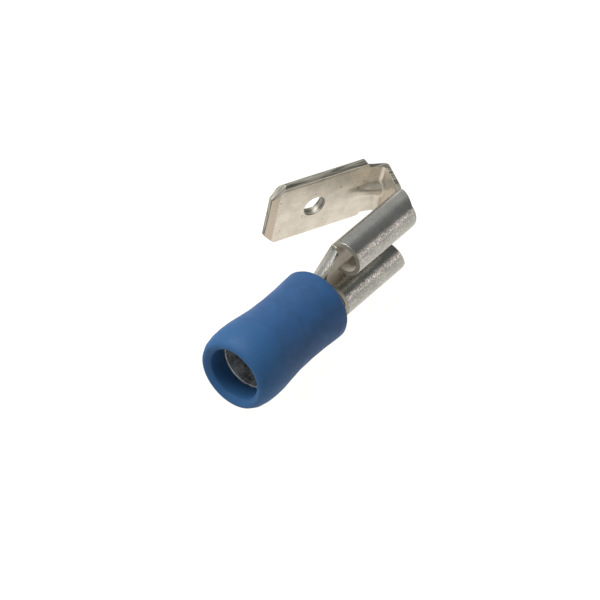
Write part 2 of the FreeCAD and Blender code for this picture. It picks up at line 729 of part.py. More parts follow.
def make_insulation(doc, sizes):
    """Make the insulating sleeve: a bulged mouth with a round lip, a waist and a plain front."""
    body = doc.addObject("PartDesign::Body", "insulating_sleeve")
    sketch = new_sketch(body, "SleeveSection", "XY_Plane")
    profile = Profile(sketch)
    mouth = sizes.mouth_bore / 2
    bell_end = sizes.support_start + sizes.support_bell
    taper_end = bell_end + sizes.support_taper
    seat = sizes.wire_bore / 2 + sizes.sheet_thick + sizes.support_wall + sizes.fit_gap * 2
    bulge = sizes.bulge_diameter / 2
    waist = bulge - sizes.waist_depth
    front = waist + sizes.front_rise

    # The bulge's arc and the waist's arc touch on the line between their centres
    bulge_x, waist_x = sizes.bulge_station.number, sizes.waist_station.number
    span, drop = waist_x - bulge_x, bulge.number - waist.number
    bulge_arc = sizes.bulge_arc.number
    waist_arc = (span ** 2 + drop ** 2) / (2 * drop) - bulge_arc
    share = bulge_arc / (bulge_arc + waist_arc)
    bulge_centre = (bulge_x, bulge.number - bulge_arc)
    waist_centre = (waist_x, waist.number + waist_arc)
    touch = tuple(low + (high - low) * share for low, high in zip(bulge_centre, waist_centre))
    lip_level = arc_level(bulge.number, bulge_arc, bulge_x)
    reach = sizes.sleeve_length.number - waist_x
    rise = front.number - waist.number
    front_arc = (reach ** 2 + rise ** 2) / (2 * rise)

    def direction(centre, point):
        return math.degrees(math.atan2(point[1] - centre[1], point[0] - centre[0]))

    first = profile.arc(bulge_centre, bulge_arc, direction(bulge_centre, touch),
                        direction(bulge_centre, (0, lip_level)))
    second = profile.arc(waist_centre, waist_arc, direction(waist_centre, touch), -90)
    third_centre = (waist_x, waist.number + front_arc)
    front_point = (sizes.sleeve_length.number, front.number)
    third = profile.arc(third_centre, front_arc, -90, direction(third_centre, front_point))
    lip = profile.line((0, lip_level), (0, mouth.number))
    bore = profile.line((0, mouth.number), (bell_end.number, mouth.number))
    taper = profile.line((bell_end.number, mouth.number), (taper_end.number, seat.number))
    snug = profile.line((taper_end.number, seat.number), (sizes.sleeve_length.number, seat.number))
    face = profile.line((sizes.sleeve_length.number, seat.number), front_point)

    profile.measure("DistanceX", *ORIGIN_POINT, first, CENTRE, sizes.bulge_station)
    profile.measure("DistanceY", *ORIGIN_POINT, first, CENTRE, bulge - sizes.bulge_arc)
    profile.measure("Radius", first, sizes.bulge_arc)
    profile.rule("Tangent", second, START, first, START)
    profile.place(second, END, (sizes.waist_station, waist))
    profile.measure("DistanceX", *ORIGIN_POINT, second, CENTRE, sizes.waist_station)
    profile.rule("Coincident", third, START, second, END)
    profile.measure("DistanceX", *ORIGIN_POINT, third, CENTRE, sizes.waist_station)
    profile.rule("Coincident", lip, START, first, END)
    for line, following in ((lip, bore), (bore, taper), (taper, snug), (snug, face)):
        profile.rule("Coincident", line, END, following, START)
    profile.rule("Coincident", face, END, third, END)
    profile.rule("PointOnObject", lip, START, VERTICAL_AXIS)
    profile.place(bore, START, (0, mouth))
    profile.place(taper, START, (bell_end, mouth))
    profile.place(snug, START, (taper_end, seat))
    profile.place(face, START, (sizes.sleeve_length, seat))
    profile.place(face, END, (sizes.sleeve_length, front))
    turned = revolve(body, sketch, "SleeveTube")
    doc.recompute()

    rounds = (
        ("LipRound", 0, lip_level, sizes.lip_round),
        ("LipInnerRound", 0, mouth.number, sizes.lip_inner_round),
        ("FrontRound", sizes.sleeve_length.number, front.number, sizes.front_round),
    )
    for name, station, radius, amount in rounds:
        turned = dress(body, "Fillet", name, turned, ring_edges(turned.Shape, station, radius), amount)
        doc.recompute()
    return body


def check(doc, bodies):
    """Stop if an object failed or a sub-part isn't one valid solid."""
    for thing in doc.Objects:
        if {"Invalid", "Error"} & set(thing.State):
            raise RuntimeError(f"{thing.Name} failed: {thing.State}")
    for body in bodies:
        shape = body.Shape
        if shape.isNull() or not shape.isValid() or len(shape.Solids) != 1:
            raise RuntimeError(f"{body.Label} is not one valid solid")


def main():
    """Build the document and write one file for each sub-part."""
    doc = FreeCAD.newDocument("PiggybackTerminal")
    sizes = Sizes(doc)
    bodies = (make_terminal(doc, sizes), make_support(doc, sizes), make_insulation(doc, sizes))
    doc.recompute()
    check(doc, bodies)
    os.makedirs("parts", exist_ok=True)
    for name, body in zip(NODES, bodies):
        body.Label = name
        body.Placement = Placement(Vector(), Rotation())
        body.Shape.exportStep(f"parts/{name}.step")
        box = body.Shape.optimalBoundingBox()
        print(f"{name}: volume {body.Shape.Volume:.3f}, x {box.XMin:.2f} to {box.XMax:.2f}, "
              f"y {box.YMin:.2f} to {box.YMax:.2f}, z {box.ZMin:.2f} to {box.ZMax:.2f}")


main()
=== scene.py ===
import logging
import math
from dataclasses import dataclass
from enum import Enum
from typing import Any, NamedTuple

import bmesh
import bpy
from mathutils import Matrix, Vector
from mathutils.bvhtree import BVHTree


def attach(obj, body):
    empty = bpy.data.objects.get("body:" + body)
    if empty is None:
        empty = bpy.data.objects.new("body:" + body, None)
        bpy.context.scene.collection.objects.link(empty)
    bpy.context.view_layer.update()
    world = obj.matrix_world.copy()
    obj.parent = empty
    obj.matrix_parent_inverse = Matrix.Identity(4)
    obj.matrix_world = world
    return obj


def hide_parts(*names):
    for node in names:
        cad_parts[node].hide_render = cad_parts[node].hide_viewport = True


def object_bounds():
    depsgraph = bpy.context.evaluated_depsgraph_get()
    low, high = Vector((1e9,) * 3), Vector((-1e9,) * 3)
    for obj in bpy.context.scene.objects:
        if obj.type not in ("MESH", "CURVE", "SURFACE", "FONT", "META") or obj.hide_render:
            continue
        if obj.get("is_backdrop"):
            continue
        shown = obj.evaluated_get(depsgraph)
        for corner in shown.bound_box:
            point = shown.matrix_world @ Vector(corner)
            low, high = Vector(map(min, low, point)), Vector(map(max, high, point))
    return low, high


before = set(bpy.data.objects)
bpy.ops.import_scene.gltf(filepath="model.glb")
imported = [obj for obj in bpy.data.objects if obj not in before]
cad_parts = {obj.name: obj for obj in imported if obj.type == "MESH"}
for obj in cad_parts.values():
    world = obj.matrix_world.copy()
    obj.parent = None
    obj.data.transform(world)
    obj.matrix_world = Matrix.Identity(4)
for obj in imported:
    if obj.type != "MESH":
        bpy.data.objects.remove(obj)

LOG = logging.getLogger("piggyback_terminal")
MM = 0.001
BODY = "root"
SHEARED = "sheared"
OLD_RIM = "old_rim"
COLOURS = {"data_type": "RGBA"}
# In metres: what counts as one level, and as lying on a cutting plane.
LEVEL_SLACK = 1e-7
CUT_SLACK = 1e-8

Tree = bpy.types.NodeTree
Socket = bpy.types.NodeSocket
Span = tuple[float, float]
Section = tuple[tuple[float, float], ...]


class Node(Enum):
    """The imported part's nodes, which are its three physical pieces."""

    TERMINAL = "terminal_body"
    SUPPORT = "support_sleeve"
    INSULATION = "insulating_sleeve"


class Slot(Enum):
    """The record's material slots."""

    TINNED_BRASS = "tinned_brass"
    TINNED_COPPER = "tinned_copper"
    BLUE_VINYL = "blue_vinyl"


def linear(code: str) -> tuple[float, float, float, float]:
    """Turn an sRGB hex colour into the linear colour that shaders take.

    Args:
        code: Six hex digits, red, green and blue.

    Returns:
        Red, green, blue and an alpha of one.
    """
    shares = [int(code[place:place + 2], 16) / 255 for place in (0, 2, 4)]
    red, green, blue = (
        share / 12.92 if share <= 0.04045 else ((share + 0.055) / 1.055) ** 2.4 for share in shares
    )
    return red, green, blue, 1.0


def add_node(
    tree: Tree,
    kind: str,
    settings: dict[str, Any] | None = None,
    values: dict[str | int, Any] | None = None,
) -> bpy.types.Node:
    """Add one shader node, with its settings, its constants and its links.

    Args:
        tree: The tree that the node goes into.
        kind: The node's Blender type, without the word ShaderNode.
        settings: The node's own properties.
        values: What each input takes: a constant, or another node's output socket.

    Returns:
        The new node.
    """
    node = tree.nodes.new("ShaderNode" + kind)
    for name, value in (settings or {}).items():
        setattr(node, name, value)
    for name, value in (values or {}).items():
        if isinstance(value, Socket):
            tree.links.new(value, node.inputs[name])
        else:
            node.inputs[name].default_value = value
    return node


def new_tree(name: str) -> tuple[bpy.types.Material, Tree]:
    """Make an empty material.

    Args:
        name: What the real finish is.

    Returns:
        The material and its node tree.
    """
    material = bpy.data.materials.new(name)
    material.use_nodes = True
    material.node_tree.nodes.clear()
    return material, material.node_tree


@dataclass(frozen=True)
class Zones:
    """A place on the strip, and the shares, from zero to one, of the states that its tin is in there."""

    place: Socket
    on_tab: Socket
    flat: Socket
    formed: Socket
    sheltered: Socket
    sheared: Socket


@dataclass(frozen=True)
class StripLayout:
    """Where on the stamped strip the tin was left flat, formed by the dies, sheltered or sheared."""

    tab_tip: tuple[float, float] = (14.866, 8.153)
    tab_slope: float = 20.9
    flat_levels: Span = (1.95, 2.35)
    neck_start: float = 10.5
    rolled_start: float = 13.8
    start_fade: float = 0.1
    roll_axis: tuple[float, float] = (0.3, 2.46)
    roll_middle: float = 1.3
    floor_levels: Span = (1.2, 1.6)

    def read(self, tree: Tree) -> Zones:
        """Work the states out from the place on the part.

        Args:
            tree: The material's tree.

        Returns:
            The place in Object coordinates and on the tab, and the share of each state there.
        """
        place = add_node(tree, "TexCoord").outputs["Object"]
        axes = add_node(tree, "SeparateXYZ", values={"Vector": place})
        low, high = self.flat_levels
        flat = add_node(tree, "MapRange", values={
            "Value": axes.outputs["Y"], "From Min": low * MM, "From Max": high * MM,
        }).outputs[0]
        sheltered = add_node(tree, "Math", {"operation": "MULTIPLY"}, {
            0: self._inside(tree, axes), 1: self._formed_past(tree, axes, flat, self.rolled_start),
        }).outputs[0]
        formed = add_node(tree, "Math", {"operation": "SUBTRACT", "use_clamp": True}, {
            0: self._formed_past(tree, axes, flat, self.neck_start), 1: sheltered,
        }).outputs[0]
        sheared = add_node(tree, "Attribute", {"attribute_name": SHEARED}).outputs["Fac"]
        return Zones(place, self._on_tab(tree, place), flat, formed, sheltered, sheared)

    def _on_tab(self, tree: Tree, place: Socket) -> Socket:
        """Turn a place on the part into a place on the male tab.

        Args:
            tree: The material's tree.
            place: The place in Object coordinates.

        Returns:
            The place from the middle of the tip on the tab's front face, in metres: along the tab,
            into its thickness, and across its width.
        """
        slope = math.radians(self.tab_slope)
        shift = Matrix.Rotation(slope, 3, "Z") @ Vector((*self.tab_tip, 0)) * -MM
        return add_node(tree, "Mapping", values={
            "Vector": place, "Location": shift, "Rotation": (0, 0, slope),
        }).outputs[0]

    def _formed_past(self, tree: Tree, axes: bpy.types.Node, flat: Socket, start: float) -> Socket:
        """Tell the metal past a station that the dies have formed, and rubbed dull, from the rest.

        Args:
            tree: The material's tree.
            axes: The node that gives the place's three coordinates.
            flat: The share of flat metal.
            start: The station, in millimetres.

        Returns:
            One on the formed metal past the station, zero elsewhere.
        """
        past = add_node(tree, "MapRange", values={
            "Value": axes.outputs["X"], "From Min": start * MM, "From Max": (start + self.start_fade) * MM,
        })
        return add_node(tree, "Math", {"operation": "SUBTRACT", "use_clamp": True}, {
            0: past.outputs[0], 1: flat,
        }).outputs[0]

    def _inside(self, tree: Tree, axes: bpy.types.Node) -> Socket:
        """Tell the inside of the rolls, and of the floor between them, from the outside.

        Args:
            tree: The material's tree.
            axes: The node that gives the place's three coordinates.

        Returns:
            One on the inside, zero elsewhere.
        """
        axis_level, axis_aside = (value * MM for value in self.roll_axis)
        low, high = (value * MM for value in self.floor_levels)
        level = axes.outputs["Y"]
        aside = add_node(tree, "Math", {"operation": "ABSOLUTE"}, {0: axes.outputs["Z"]}).outputs[0]
        section = add_node(tree, "CombineXYZ", values={"Y": level, "Z": aside}).outputs[0]
        far = add_node(tree, "VectorMath", {"operation": "DISTANCE"}, {
            0: section, 1: (0, axis_level, axis_aside),
        }).outputs["Value"]
        in_roll = add_node(tree, "Math", {"operation": "LESS_THAN"}, {
            0: far, 1: self.roll_middle * MM,
        }).outputs[0]
        at_floor = add_node(tree, "Math", {"operation": "COMPARE"}, {
            0: level, 1: (low + high) / 2, 2: (high - low) / 2,
        }).outputs[0]
        between = add_node(tree, "Math", {"operation": "LESS_THAN"}, {0: aside, 1: axis_aside}).outputs[0]
        on_floor = add_node(tree, "Math", {"operation": "MULTIPLY"}, {0: at_floor, 1: between}).outputs[0]
        return add_node(tree, "Math", {"operation": "MAXIMUM"}, {0: in_roll, 1: on_floor}).outputs[0]


class Nick(NamedTuple):
    """One nick in the tab's face: its way from the tip and from the middle, and its radius."""

    along: float
    across: float
    radius: float


@dataclass(frozen=True)
class TinPlate:
    """Electroplated matte tin on rolled strip, stamped and formed after plating.

    Tin plate gives the eye a warm, milky grey with a soft sheen, and the flat tab shows the mill's
    lines. The curling dies rub the neck and the rolls to a duller, pebbled skin that breaks their
    highlight into glints, while the sheltered inside keeps its milky tin. A sheared edge shows the
    bands that the shears have burnished and torn, and handling leaves dark pits and nicks.
    """

    name: str
    tone: str = "DFD8C9"
    # The blotches' tone: stains on the strip, and on the tube painted reflection of the dark bands that its
    # inside mirrors.
    stain_and_shade_tone: str = "C9C2B5"
    pit_tone: str = "6E695E"
    coined_tone: str = "BFB3A2"
    rolled_tone: str = "BBBAB3"
    grain_tone: str = "9A9993"
    smear_tone: str = "85867F"
    smear_share: float = 0.45
    edge_tone: str = "A8A497"
    band_tone: str = "5F5D56"

    # How much of the light the metal mirrors. Fresh matte tin scatters the rest, milkily.
    flat_metal: float = 0.82
    formed_metal: float = 0.88
    sheltered_metal: float = 0.2
    sheared_metal: float = 0.7
    line_roughness: Span = (0.25, 0.37)
    grain_roughness: Span = (0.22, 0.38)
    sheared_roughness: float = 0.5

    # Stains from handling are a millimetre or so across.
    blotch_size: float = 1.3
    blotch_span: Span = (0.38, 0.66)
    # The tin's grains are some 0.01 mm across, too fine to show, so they are drawn at 0.17 mm.
    grain_size: float = 0.17
    grain_span: Span = (0.4, 0.62)
    # The mill's lines are about 0.02 mm apart, too fine to show, so they are drawn at 0.14 mm. They
    # run along the strip, and on the tab they run along its slope.
    line_pitch: float = 0.14
    line_depth: float = 0.003
    line_span: Span = (0.3, 0.7)
    rolled_stretch: tuple[float, float, float] = (0.14, 1.0, 1.0)
    flat_stretch: tuple[float, float, float] = (0.1, 0.1, 1.0)
    # The dies' pebbles are about 0.05 mm across, too fine to show, so they are drawn at 0.2 mm.
    pebble_size: float = 0.2
    pebble_depth: float = 0.015
    pebble_stretch: tuple[float, float, float] = (0.7, 1.0, 1.0)
    flat_pebble: float = 0.12
    # Shears leave a burnished and a torn band in each 0.4 mm layer.
    band_width: float = 0.16
    band_span: Span = (0.42, 0.58)
    band_stretch: tuple[float, float, float] = (0.06, 1.0, 0.06)
    # Handling's pits are up to 0.05 mm across, too fine to show, so they are drawn up to 0.14 mm
    # across. One cell of the pattern in five has one, and its radius is a share of the cell.
    pit_spacing: float = 0.5
    pit_least: float = 0.8
    pit_radius: float = 0.14
    pit_share: float = 0.45
    # A nick's ragged edge wanders over 0.3 mm, in waves of a sixth of a millimetre.
    nick_share: float = 0.8
    nick_wander: float = 0.3
    wander_size: float = 1 / 6
    coined_length: float = 0.62
    nicks: tuple[Nick, ...] = ()
    layout: StripLayout = StripLayout()

    def material(self) -> bpy.types.Material:
        """Build the plated metal.

        Returns:
            The material, in Object coordinates, for pieces modelled in metres.
        """
        material, tree = new_tree(self.name)
        zones = self.layout.read(tree)
        lines = self._lines(tree, zones)
        grain = self._patches(
            tree, zones, self.grain_size, self.grain_span, {"Detail": 3.0, "Roughness": 0.7}
        )
        shader = add_node(tree, "BsdfPrincipled", values={
            "Base Color": self._tone(tree, zones, grain),
            "Metallic": self._metal(tree, zones),
            "Roughness": self._roughness(tree, zones, lines, grain),
            "Normal": self._relief(tree, zones, lines),
        })
        add_node(tree, "OutputMaterial", values={"Surface": shader.outputs[0]})
        return material

    def _patches(
        self, tree: Tree, zones: Zones, size: float, span: Span, texture: dict[str, float]
    ) -> Socket:
        """Scatter soft patches over the metal.

        Args:
            tree: The material's tree.
            zones: The place on the strip.
            size: The patches' size, in millimetres.
            span: The noise level where they begin, and the one where they are full.
            texture: The noise's own settings.

        Returns:
            The patches' share, zero to one.
        """
        noise = add_node(tree, "TexNoise", values={
            "Vector": zones.place, "Scale": 1 / (size * MM), **texture,
        })
        return add_node(tree, "MapRange", values={
            "Value": noise.outputs["Fac"], "From Min": span[0], "From Max": span[1],
        }).outputs[0]

    def _tone(self, tree: Tree, zones: Zones, grain: Socket) -> Socket:
        """Lay the metal's colours over each other.

        Args:
            tree: The material's tree.
            zones: The place on the strip and its states.
            grain: The share of dark grain.

        Returns:
            The colour.
        """
        blotch = self._patches(
            tree, zones, self.blotch_size, self.blotch_span, {"Detail": 6.0, "Roughness": 0.6}
        )
        smear = add_node(tree, "Math", {"operation": "MULTIPLY"}, {0: blotch, 1: self.smear_share}).outputs[0]
        skin = add_node(tree, "Mix", COLOURS, {
            "Factor": grain, 6: linear(self.rolled_tone), 7: linear(self.grain_tone),
        }).outputs[2]
        skin = add_node(tree, "Mix", COLOURS, {
            "Factor": smear, 6: skin, 7: linear(self.smear_tone),
        }).outputs[2]
        tone: Any = linear(self.tone)
        layers = (
            (blotch, linear(self.stain_and_shade_tone)),
            (zones.formed, skin),
            (self._coined(tree, zones), linear(self.coined_tone)),
            (self._dark_spots(tree, zones), linear(self.pit_tone)),
            (zones.sheared, self._edge_bands(tree, zones)),
        )
        for share, layer in layers:
            tone = add_node(tree, "Mix", COLOURS, {"Factor": share, 6: tone, 7: layer}).outputs[2]
        return tone

    def _metal(self, tree: Tree, zones: Zones) -> Socket:
        """Tell how metallic the surface looks.

        Args:
            tree: The material's tree.
            zones: The place on the strip and its states.

        Returns:
            The metallic share.
        """
        metal = add_node(tree, "MapRange", values={
            "Value": zones.flat, "To Min": self.formed_metal, "To Max": self.flat_metal,
        }).outputs[0]
        layers = ((zones.sheltered, self.sheltered_metal), (zones.sheared, self.sheared_metal))
        for share, layer in layers:
            metal = add_node(tree, "Mix", values={"Factor": share, 2: metal, 3: layer}).outputs[0]
        return metal

    def _roughness(self, tree: Tree, zones: Zones, lines: Socket, grain: Socket) -> Socket:
        """Tell how rough the surface is.

        Args:
            tree: The material's tree.
            zones: The place on the strip and its states.
            lines: The mill's lines' height.
            grain: The share of dark grain.

        Returns:
            The roughness.
        """
        rough = add_node(tree, "MapRange", values={
            "Value": lines, "From Min": self.line_span[0], "From Max": self.line_span[1],
            "To Min": self.line_roughness[0], "To Max": self.line_roughness[1],
        }).outputs[0]
        burnished = add_node(tree, "MapRange", values={
            "Value": grain, "To Min": self.grain_roughness[0], "To Max": self.grain_roughness[1],
        }).outputs[0]
        layers = ((zones.formed, burnished), (zones.sheared, self.sheared_roughness))
        for share, layer in layers:
            rough = add_node(tree, "Mix", values={"Factor": share, 2: rough, 3: layer}).outputs[0]
        return rough

    def _edge_bands(self, tree: Tree, zones: Zones) -> Socket:
        """Draw the burnished and the torn bands that shears leave along the tab's edges, layer by layer.

        Args:
            tree: The material's tree.
            zones: The place on the strip and its states.

        Returns:
            The sheared edges' colour.
        """
        run = add_node(tree, "Mapping", values={
            "Vector": zones.on_tab, "Scale": self.band_stretch,
        }).outputs[0]
        bands = add_node(tree, "TexNoise", values={
            "Vector": run, "Scale": 1 / (self.band_width * MM), "Detail": 2.0, "Roughness": 0.6,
        }).outputs["Fac"]
        torn = add_node(tree, "MapRange", values={
            "Value": bands, "From Min": self.band_span[0], "From Max": self.band_span[1],
        }).outputs[0]
        share = add_node(tree, "Math", {"operation": "MULTIPLY"}, {0: torn, 1: zones.flat}).outputs[0]
        return add_node(tree, "Mix", COLOURS, {
            "Factor": share, 6: linear(self.edge_tone), 7: linear(self.band_tone),
        }).outputs[2]

    def _lines(self, tree: Tree, zones: Zones) -> Socket:
        """Draw the mill's lines along the strip, which the rolls carry round themselves.

        Args:
            tree: The material's tree.
            zones: The place on the strip and its states.

        Returns:
            The lines' height, about zero to one.
        """
        drawn = []
        for stretch in (self.rolled_stretch, self.flat_stretch):
            run = add_node(tree, "Mapping", values={"Vector": zones.place, "Scale": stretch}).outputs[0]
            drawn.append(add_node(tree, "TexNoise", values={
                "Vector": run, "Scale": 1 / (self.line_pitch * MM), "Detail": 4.0, "Roughness": 0.65,
            }).outputs["Fac"])
        return add_node(tree, "Mix", values={"Factor": zones.flat, 2: drawn[0], 3: drawn[1]}).outputs[0]

    def _dark_spots(self, tree: Tree, zones: Zones) -> Socket:
        """Scatter small dark pits over the plating, and put the larger nicks where they are.

        Args:
            tree: The material's tree.
            zones: The place on the strip.

        Returns:
            The share of dark metal, zero to one.
        """
        cells = add_node(tree, "TexVoronoi", values={
            "Vector": zones.place, "Scale": 1 / (self.pit_spacing * MM),
        })
        chance = add_node(tree, "SeparateColor", values={"Color": cells.outputs["Color"]}).outputs[0]
        radius = add_node(tree, "MapRange", values={
            "Value": chance, "From Min": self.pit_least, "To Max": self.pit_radius,
        }).outputs[0]
        pit = add_node(tree, "Math", {"operation": "LESS_THAN"}, {
            0: cells.outputs["Distance"], 1: radius,
        }).outputs[0]
        dark = add_node(tree, "Math", {"operation": "MULTIPLY"}, {0: pit, 1: self.pit_share}).outputs[0]
        wobble = add_node(tree, "TexNoise", values={
            "Vector": zones.place, "Scale": 1 / (self.wander_size * MM), "Detail": 2.0,
        }).outputs["Color"]
        shaken = add_node(tree, "VectorMath", {"operation": "MULTIPLY_ADD"}, {
            0: wobble, 1: (self.nick_wander * MM,) * 3, 2: zones.on_tab,
        }).outputs[0]
        # The wobble is about a half on average, so each middle moves along with it.
        shift = self.nick_wander / 2
        for nick in self.nicks:
            middle = [value * MM for value in (nick.along + shift, shift, nick.across + shift)]
            far = add_node(tree, "VectorMath", {"operation": "DISTANCE"}, {0: shaken, 1: middle})
            mark = add_node(tree, "MapRange", values={
                "Value": far.outputs["Value"], "From Min": nick.radius * MM,
                "From Max": nick.radius * MM / 2, "To Max": self.nick_share,
            }).outputs[0]
            dark = add_node(tree, "Math", {"operation": "MAXIMUM"}, {0: dark, 1: mark}).outputs[0]
        return dark

    def _coined(self, tree: Tree, zones: Zones) -> Socket:
        """Find the lead-in at the tab's tip, which the coining die has rubbed duller.

        Args:
            tree: The material's tree.
            zones: The place on the strip and its states.

        Returns:
            One on the lead-in, zero elsewhere.
        """
        along = add_node(tree, "SeparateXYZ", values={"Vector": zones.on_tab}).outputs["X"]
        # The lead-in ends at its length, and its slope may pass the tip by a third of that.
        reach = self.coined_length * MM
        near = add_node(tree, "Math", {"operation": "COMPARE"}, {
            0: along, 1: reach / 3, 2: reach * 2 / 3,
        }).outputs[0]
        return add_node(tree, "Math", {"operation": "MULTIPLY"}, {0: near, 1: zones.flat}).outputs[0]

    def _relief(self, tree: Tree, zones: Zones, lines: Socket) -> Socket:
        """Press the lines and the dies' pebbled skin into the surface.

        Args:
            tree: The material's tree.
            zones: The place on the strip and its states.
            lines: The lines' height.

        Returns:
            The surface's direction.
        """
        run = add_node(tree, "Mapping", values={
            "Vector": zones.place, "Scale": self.pebble_stretch,
        }).outputs[0]
        pebbles = add_node(tree, "TexNoise", values={
            "Vector": run, "Scale": 1 / (self.pebble_size * MM), "Detail": 3.0, "Roughness": 0.55,
        }).outputs["Fac"]
        share = add_node(tree, "MapRange", values={
            "Value": zones.flat, "To Min": 1.0, "To Max": self.flat_pebble,
        }).outputs[0]
        pebbled = add_node(tree, "Bump", values={
            "Height": pebbles, "Distance": self.pebble_depth * MM, "Strength": share,
        }).outputs[0]
        return add_node(tree, "Bump", values={
            "Height": lines, "Distance": self.line_depth * MM, "Strength": 1.0, "Normal": pebbled,
        }).outputs[0]


@dataclass(frozen=True)
class SoftVinyl:
    """Plasticised PVC, moulded in one colour, with a fine matt skin.

    It gives the eye a deep, slightly uneven blue with a broad dull sheen and faint flow marks. The
    bell round the mouth has no metal behind it, so light gets into it and it looks paler.
    """

    name: str
    tone: str = "2C517C"
    deep_tone: str = "294A70"
    bell_tone: str = "2B5680"
    bell_share: float = 0.7
    bell_end: float = 4.2
    bell_fade: float = 2.6
    # The flow marks are about 2 mm apart, and the gloss follows them.
    flow_size: float = 1.8
    flow_span: Span = (0.35, 0.65)
    gloss_span: Span = (0.3, 0.7)
    roughness: Span = (0.53, 0.67)
    # The mould's skin is about 0.03 mm fine, too fine to show, so it is drawn at 0.16 mm.
    grain_size: float = 0.16
    grain_depth: float = 0.012
    grain_strength: float = 0.6
    refraction: float = 1.53
    sheen: float = 0.18
    glow_share: float = 0.15
    glow_depth: tuple[float, float, float] = (0.1, 0.2, 0.5)

    def material(self) -> bpy.types.Material:
        """Build the moulded vinyl.

        Returns:
            The material, in Object coordinates, for pieces modelled in metres.
        """
        material, tree = new_tree(self.name)
        place = add_node(tree, "TexCoord").outputs["Object"]
        flow = add_node(tree, "TexNoise", values={
            "Vector": place, "Scale": 1 / (self.flow_size * MM), "Detail": 5.0, "Roughness": 0.6,
            "Distortion": 0.8,
        }).outputs["Fac"]
        rough = add_node(tree, "MapRange", values={
            "Value": flow, "From Min": self.gloss_span[0], "From Max": self.gloss_span[1],
            "To Min": self.roughness[0], "To Max": self.roughness[1],
        })
        grain = add_node(tree, "TexNoise", values={
            "Vector": place, "Scale": 1 / (self.grain_size * MM), "Detail": 3.0, "Roughness": 0.6,
        })
        relief = add_node(tree, "Bump", values={
            "Height": grain.outputs["Fac"], "Distance": self.grain_depth * MM,
            "Strength": self.grain_strength,
        })
        shader = add_node(tree, "BsdfPrincipled", values={
            "Base Color": self._tone(tree, place, flow), "Roughness": rough.outputs[0],
            "Normal": relief.outputs[0], "IOR": self.refraction, "Specular IOR Level": self.sheen,
            "Subsurface Weight": self.glow_share,
            "Subsurface Radius": [depth * MM for depth in self.glow_depth], "Subsurface Scale": 1.0,
        })
        add_node(tree, "OutputMaterial", values={"Surface": shader.outputs[0]})
        return material

    def _tone(self, tree: Tree, place: Socket, flow: Socket) -> Socket:
        """Mix the blues: along the flow marks, and paler towards the mouth.

        Args:
            tree: The material's tree.
            place: The place in Object coordinates.
            flow: The flow marks' level.

        Returns:
            The colour.
        """
        blend = add_node(tree, "MapRange", values={
            "Value": flow, "From Min": self.flow_span[0], "From Max": self.flow_span[1],
        }).outputs[0]
        blue = add_node(tree, "Mix", COLOURS, {
            "Factor": blend, 6: linear(self.tone), 7: linear(self.deep_tone),
        }).outputs[2]
        station = add_node(tree, "SeparateXYZ", values={"Vector": place}).outputs["X"]
        bell = add_node(tree, "MapRange", {"interpolation_type": "SMOOTHSTEP"}, {
            "Value": station, "From Min": self.bell_end * MM,
            "From Max": (self.bell_end - self.bell_fade) * MM, "To Max": self.bell_share,
        }).outputs[0]
        return add_node(tree, "Mix", COLOURS, {
            "Factor": bell, 6: blue, 7: linear(self.bell_tone),
        }).outputs[2]


@dataclass(frozen=True)
class OpalAcrylic:
    """Opal acrylic, lit from below, which gives the eye an even white with no shadow on it."""

    name: str
    tone: str = "4A4845"
    glow: tuple[float, float, float] = (1.05, 1.01, 0.98)
    roughness: float = 0.9

    def material(self) -> bpy.types.Material:
        """Build the lit acrylic.

        Returns:
            The material, plain all over.
        """
        material, tree = new_tree(self.name)
        shader = add_node(tree, "BsdfPrincipled", values={
            "Base Color": linear(self.tone), "Roughness": self.roughness, "Specular IOR Level": 0.0,
            "Emission Color": (*self.glow, 1.0), "Emission Strength": 1.0,
        })
        add_node(tree, "OutputMaterial", values={"Surface": shader.outputs[0]})
        return material


def put_in_place(
    mesh: bmesh.types.BMesh, name: str, material: bpy.types.Material, slot: Slot, node: Node
) -> bpy.types.Object:
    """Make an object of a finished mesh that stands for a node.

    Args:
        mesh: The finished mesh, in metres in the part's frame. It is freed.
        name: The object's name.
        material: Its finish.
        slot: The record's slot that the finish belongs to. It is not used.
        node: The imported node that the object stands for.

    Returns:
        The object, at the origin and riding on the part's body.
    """
    data = bpy.data.meshes.new(name)
    mesh.to_mesh(data)
    mesh.free()
    data.materials.append(material)
    piece = bpy.data.objects.new(name, data)
    bpy.context.scene.collection.objects.link(piece)
    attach(piece, BODY)
    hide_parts(node.value)
    return piece


def lathe(section: Section, steps: int) -> bmesh.types.BMesh:
    """Spin a closed section about the barrel's axis.

    Args:
        section: Stations and radii round the section, in millimetres.
        steps: How many parts the turn has.

    Returns:
        The spun mesh, with its faces pointing out.
    """
    mesh = bmesh.new()
    rim = [mesh.verts.new((station * MM, radius * MM, 0)) for station, radius in section]
    for first, second in zip(rim, rim[1:] + rim[:1]):
        mesh.edges.new((first, second))
    bmesh.ops.spin(
        mesh, geom=mesh.verts[:] + mesh.edges[:], cent=(0, 0, 0), axis=(1, 0, 0),
        angle=math.tau, steps=steps, use_merge=True,
    )
    bmesh.ops.recalc_face_normals(mesh, faces=mesh.faces)
    return mesh


